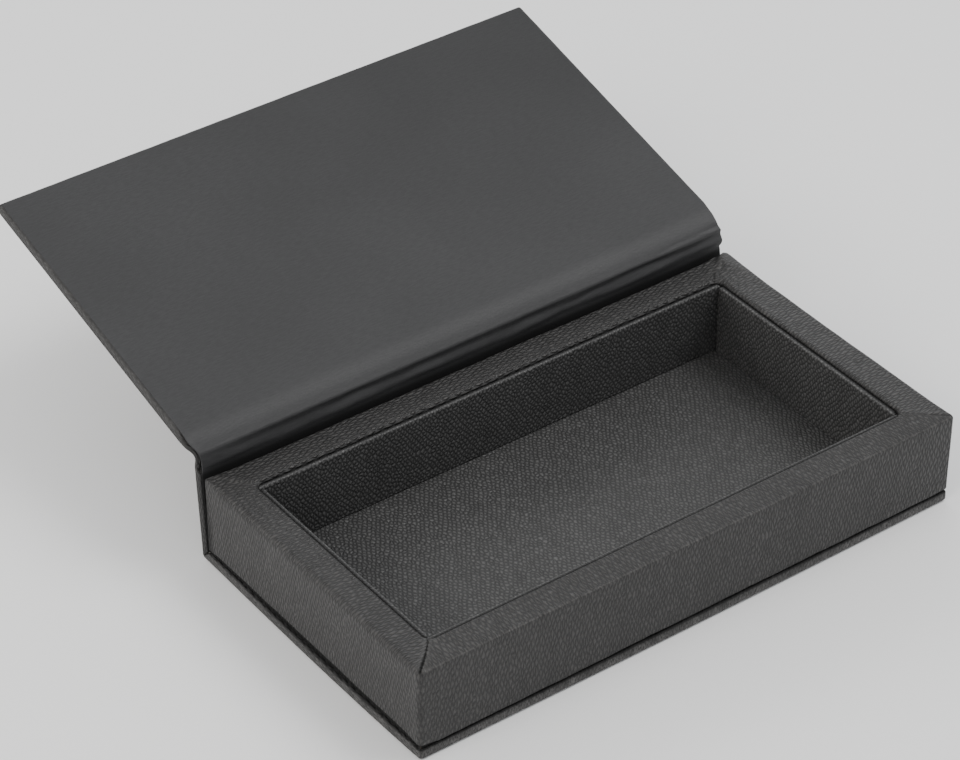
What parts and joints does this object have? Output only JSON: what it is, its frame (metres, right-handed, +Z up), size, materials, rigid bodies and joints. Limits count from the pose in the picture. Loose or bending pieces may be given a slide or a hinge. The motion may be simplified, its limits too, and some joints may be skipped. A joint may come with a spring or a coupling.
{
  "type": "guest check presenter",
  "caption": "Book-style leather-covered box for presenting a bill: a shallow thick-walled tray on a hardback case whose lid folds back on a flexible leather joint.",
  "frame": {"origin": "centre of the tray's footprint, on the underside of the base", "axes": "+Z up, +X along the hinge to the right as seen from the front, +Y to the hinge; the lid is laid back at rest"},
  "size_m": [0.1872, 0.2054, 0.0653],
  "materials": {
    "embossed_leather": "satin",
    "panel_leather": "satin",
    "smooth_lining": "satin",
    "case_board": "matte",
    "wall_core": "matte",
    "panel_card": "matte"
  },
  "bodies": {
    "tray": {"base_board": "case_board", "spine_board": "case_board", "base_cover": "embossed_leather", "spine_cover": "embossed_leather", "hinge_cover": "embossed_leather", "wall_wrap": "embossed_leather", "hinge_lining": "smooth_lining", "spine_lining": "smooth_lining", "front_wall": "wall_core", "rear_wall": "wall_core", "left_wall": "wall_core", "right_wall": "wall_core", "front_panel": "panel_card", "rear_panel": "panel_card", "left_panel": "panel_card", "right_panel": "panel_card", "front_panel_cover": "panel_leather", "rear_panel_cover": "panel_leather", "left_panel_cover": "panel_leather", "right_panel_cover": "panel_leather", "tray_floor": "panel_card", "floor_cover": "panel_leather"},
    "lid": {"lid_board": "case_board", "lid_cover": "embossed_leather", "lid_lining": "smooth_lining"}
  },
  "joints": [
    {"name": "lid_hinge", "type": "hinge", "parent": "tray", "child": "lid", "pos_m": [0, 0.0539, 0.0349], "axis": [1, 0, 0], "range_deg": [-34.3, 165.55], "deforming": ["hinge_cover", "hinge_lining"]}
  ]
}
